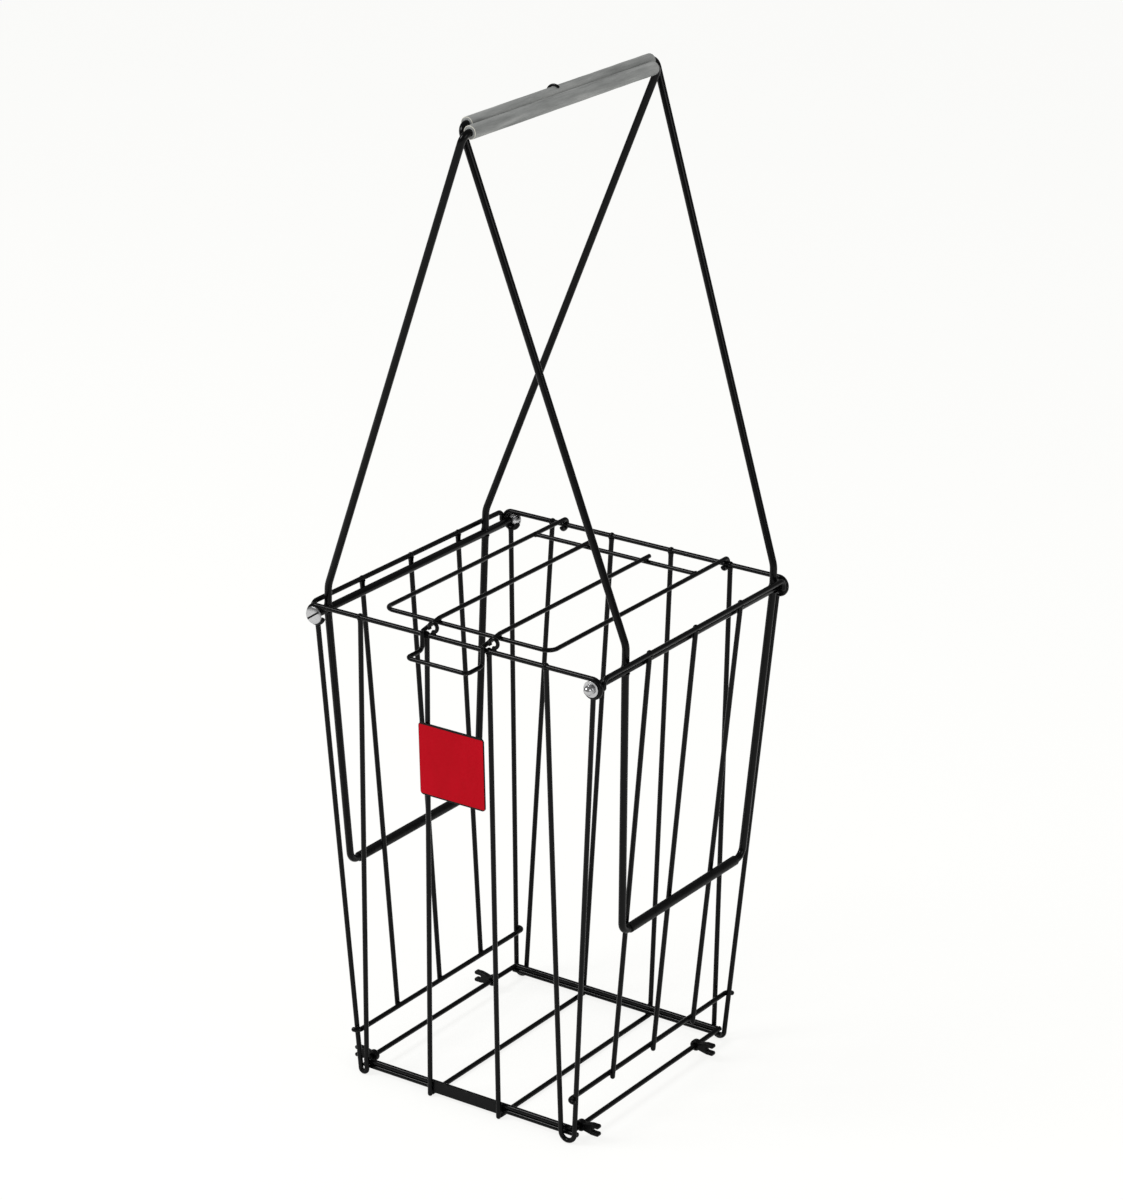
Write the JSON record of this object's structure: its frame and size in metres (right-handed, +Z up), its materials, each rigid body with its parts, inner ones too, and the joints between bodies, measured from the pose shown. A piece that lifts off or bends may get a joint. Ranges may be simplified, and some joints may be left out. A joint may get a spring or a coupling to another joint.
{
  "type": "tennis ball hopper",
  "caption": "Tapered wire ball basket on short feet with a hinged wire lid and folding carrying handles that meet above it.",
  "frame": {"origin": "on the ground under the middle of the whole object's box", "axes": "+Z up; -Y to the front, with the plate and the lid's pull wire; +X to the right seen from the front"},
  "size_m": [0.2702, 0.2952, 0.7967],
  "materials": {
    "black_wire": "gloss black coating on steel wire",
    "screw_steel": "bright plated",
    "grip_foam": "mid-grey foam, slightly mottled",
    "sleeve": "black tube",
    "red_plate": "satin red, bare"
  },
  "bodies": {
    "basket": {"front_panel": "black_wire", "back_panel": "black_wire", "side_panel_left": "black_wire", "side_panel_right": "black_wire", "side_rod_left": "black_wire", "side_rod_right": "black_wire", "ground_wire_left": "black_wire", "ground_wire_right": "black_wire", "front_low_bar": "black_wire", "front_high_bar": "black_wire", "back_low_bar": "black_wire", "back_high_bar": "black_wire", "front_strip": "black_wire", "hook_front_left": "black_wire", "hook_front_right": "black_wire", "hook_back_left": "black_wire", "hook_back_right": "black_wire", "catch_left": "black_wire", "catch_right": "black_wire", "plate": "red_plate", "screw_front_left": "screw_steel", "screw_front_right": "screw_steel", "screw_back_left": "screw_steel", "screw_back_right": "screw_steel", "washer_front_right": "screw_steel", "washer_back_right": "screw_steel"},
    "lid": {"lid_frame": "black_wire", "lid_cross_wire": "black_wire", "lid_pull_wire": "black_wire"},
    "right_handle": {"pivot_tube_right": "black_wire", "handle_right": "black_wire", "handle_loop_right": "black_wire", "grip_right": "grip_foam", "sleeve_right": "sleeve", "grip_clip": "black_wire"},
    "left_handle": {"pivot_tube_left": "black_wire", "handle_left": "black_wire", "handle_loop_left": "black_wire", "grip_left": "grip_foam", "sleeve_left": "sleeve"}
  },
  "joints": [
    {"name": "lid_hinge", "type": "hinge", "parent": "basket", "child": "lid", "pos_m": [0, 0.13801, 0.399], "axis": [-1, 0, 0], "range_deg": [0, 67]},
    {"name": "right_handle_fold", "type": "hinge", "parent": "basket", "child": "right_handle", "pos_m": [0.1263, 0.00803, 0.392], "axis": [0, -1, 0], "range_deg": [0, 54]},
    {"name": "left_handle_fold", "type": "hinge", "parent": "basket", "child": "left_handle", "pos_m": [-0.1263, 0.00803, 0.392], "axis": [0, 1, 0], "range_deg": [0, 49]}
  ]
}
